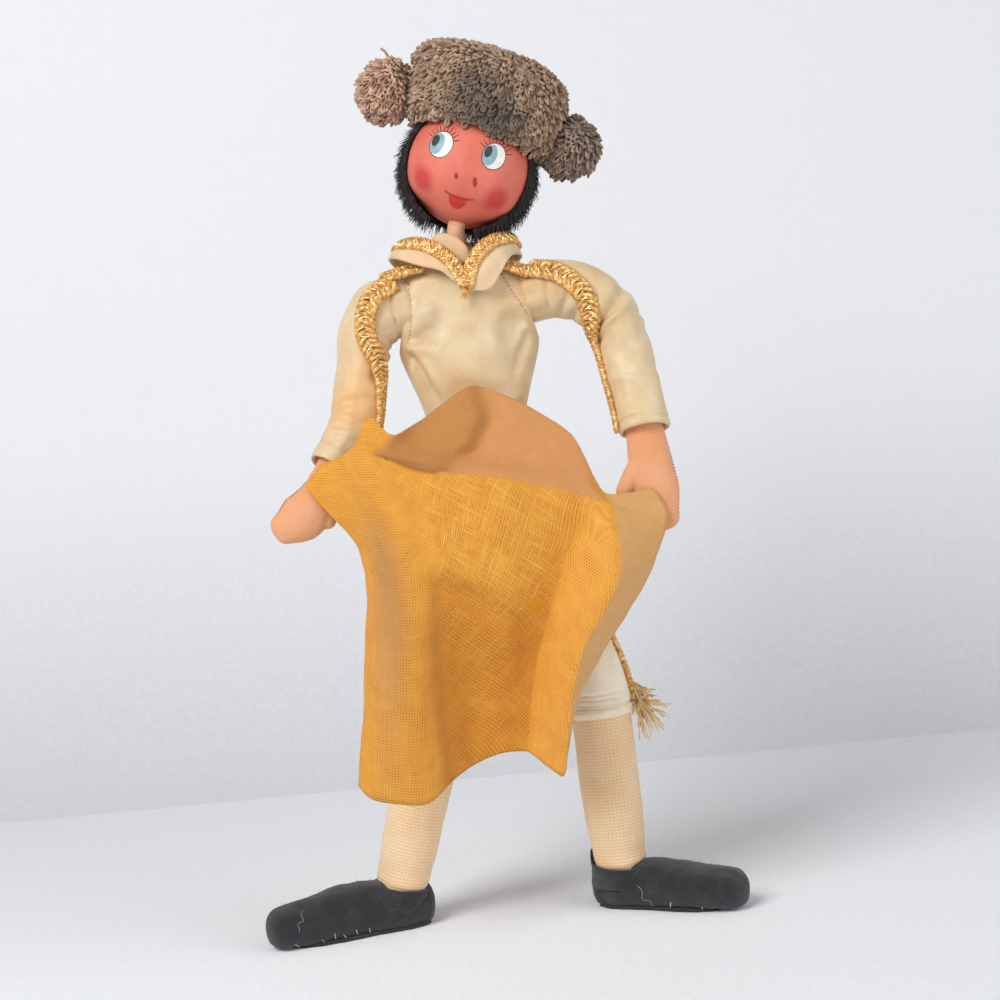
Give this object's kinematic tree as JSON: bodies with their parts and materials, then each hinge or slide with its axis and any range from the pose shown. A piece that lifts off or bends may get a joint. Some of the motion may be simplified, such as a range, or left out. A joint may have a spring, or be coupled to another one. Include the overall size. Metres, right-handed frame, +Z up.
{
  "type": "cloth doll",
  "caption": "Stuffed cloth doll in bullfighter dress with a pile hat, fur hair, braid-trimmed jacket, breeches, felt slippers and a linen cape between its wired arms.",
  "frame": {"origin": "bottom centre of the box around the doll, on the floor that its soles stand on", "axes": "+Z up, -Y the way the doll faces, +X to its own left"},
  "size_m": [0.157, 0.0656, 0.2807],
  "materials": {
    "satin": "ivory satin cotton",
    "breeches_cloth": "cream cotton sateen",
    "stockinet": "cream-peach knit",
    "flesh_cloth": "peach brushed jersey",
    "gold_braid": "gold crochet braid",
    "hat_pile": "grey-brown looped pile",
    "hair_fur": "black short fur",
    "painted_face": "smooth painted pressed cloth",
    "linen": "mustard slub linen",
    "felt": "black felt",
    "iron_wire": "soft annealed wire",
    "wadding": "loose stuffing"
  },
  "bodies": {
    "torso": {"torso": "wadding", "spine_wire": "iron_wire", "jacket": "satin", "breeches_seat": "breeches_cloth", "collar_right": "satin", "collar_braid_right": "gold_braid", "collar_left": "satin", "collar_braid_left": "gold_braid"},
    "neck": {"neck_post": "flesh_cloth"},
    "head": {"head": "painted_face", "hair": "hair_fur", "hat_crown": "hat_pile", "hat_bobble_right": "hat_pile", "hat_bobble_left": "hat_pile"},
    "upper_arm_right": {"sleeve_upper_right": "satin", "sleeve_braid_upper_right": "gold_braid", "upper_arm_wire_right": "iron_wire"},
    "forearm_right": {"sleeve_lower_right": "satin", "sleeve_braid_lower_right": "gold_braid", "forearm_wire_right": "iron_wire", "hand_right": "flesh_cloth", "cape": "linen"},
    "thigh_right": {"breeches_leg_right": "breeches_cloth", "breeches_braid_right": "gold_braid", "thigh_wire_right": "iron_wire"},
    "shin_right": {"breeches_knee_right": "breeches_cloth", "knee_band_right": "breeches_cloth", "knee_braid_right": "gold_braid", "tassel_right": "gold_braid", "stocking_right": "stockinet", "shin_wire_right": "iron_wire", "shoe_right": "felt", "sole_right": "felt"},
    "upper_arm_left": {"sleeve_upper_left": "satin", "sleeve_braid_upper_left": "gold_braid", "upper_arm_wire_left": "iron_wire"},
    "forearm_left": {"sleeve_lower_left": "satin", "sleeve_braid_lower_left": "gold_braid", "forearm_wire_left": "iron_wire", "hand_left": "flesh_cloth"},
    "thigh_left": {"breeches_leg_left": "breeches_cloth", "breeches_braid_left": "gold_braid", "thigh_wire_left": "iron_wire"},
    "shin_left": {"breeches_knee_left": "breeches_cloth", "knee_band_left": "breeches_cloth", "knee_braid_left": "gold_braid", "tassel_left": "gold_braid", "stocking_left": "stockinet", "shin_wire_left": "iron_wire", "shoe_left": "felt", "sole_left": "felt"}
  },
  "joints": [
    {"name": "head_tilt", "type": "hinge", "parent": "torso", "child": "neck", "pos_m": [0.00373, 0.01135, 0.21165], "axis": [0, 1, 0], "range_deg": [-25, 5]},
    {"name": "head_turn", "type": "hinge", "parent": "neck", "child": "head", "pos_m": [0.00893, 0.00835, 0.2407], "axis": [0.3778, 0, 0.9259], "range_deg": [-50, 50]},
    {"name": "shoulder_right", "type": "hinge", "parent": "torso", "child": "upper_arm_right", "pos_m": [-0.01677, 0.01135, 0.1985], "axis": [-1, 0, 0], "range_deg": [0, 60]},
    {"name": "elbow_right", "type": "hinge", "parent": "upper_arm_right", "child": "forearm_right", "pos_m": [-0.03027, 0.00635, 0.183], "axis": [-1, 0, 0], "range_deg": [0, 40]},
    {"name": "shoulder_left", "type": "hinge", "parent": "torso", "child": "upper_arm_left", "pos_m": [0.02423, 0.01135, 0.1985], "axis": [-1, 0, 0], "range_deg": [0, 60]},
    {"name": "elbow_left", "type": "hinge", "parent": "upper_arm_left", "child": "forearm_left", "pos_m": [0.05223, 0.00635, 0.183], "axis": [-1, 0, 0], "range_deg": [0, 40]},
    {"name": "hip_right", "type": "hinge", "parent": "torso", "child": "thigh_right", "pos_m": [-0.00727, 0.01135, 0.128], "axis": [-1, 0, 0], "range_deg": [-30, 8]},
    {"name": "knee_right", "type": "hinge", "parent": "thigh_right", "child": "shin_right", "pos_m": [-0.01677, 0.01135, 0.072], "axis": [1, 0, 0], "range_deg": [0, 60]},
    {"name": "hip_left", "type": "hinge", "parent": "torso", "child": "thigh_left", "pos_m": [0.01473, 0.01135, 0.128], "axis": [-1, 0, 0], "range_deg": [-30, 8]},
    {"name": "knee_left", "type": "hinge", "parent": "thigh_left", "child": "shin_left", "pos_m": [0.03423, 0.01135, 0.072], "axis": [1, 0, 0], "range_deg": [0, 60]}
  ],
  "couplings": [
    {"joint": "shoulder_left", "follows": "shoulder_right", "ratio": 1},
    {"joint": "elbow_left", "follows": "elbow_right", "ratio": 1}
  ]
}
